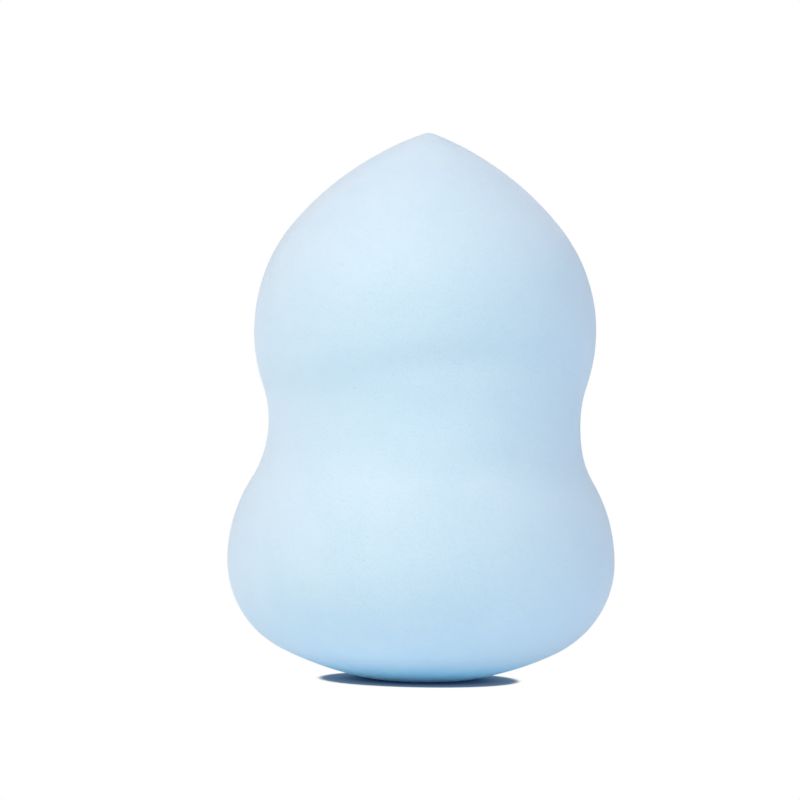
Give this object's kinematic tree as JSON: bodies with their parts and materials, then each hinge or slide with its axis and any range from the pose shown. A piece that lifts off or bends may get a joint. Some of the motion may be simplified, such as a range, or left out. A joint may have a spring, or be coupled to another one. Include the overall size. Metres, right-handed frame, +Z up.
{
  "type": "makeup sponge",
  "caption": "Gourd-shaped soft foam makeup sponge with a pointed tip, a waist and a wider domed base, for dabbing and blending make-up.",
  "frame": {"origin": "middle of the resting face, on the sponge's axis", "axes": "+Z up along the sponge's axis, from the resting face to the pointed tip; the picture's camera looks along +Y; the body is round about Z"},
  "size_m": [0.0426, 0.0426, 0.06],
  "materials": {
    "foam": "matte"
  },
  "bodies": {
    "root": {"foam_body": "foam"}
  },
  "joints": []
}
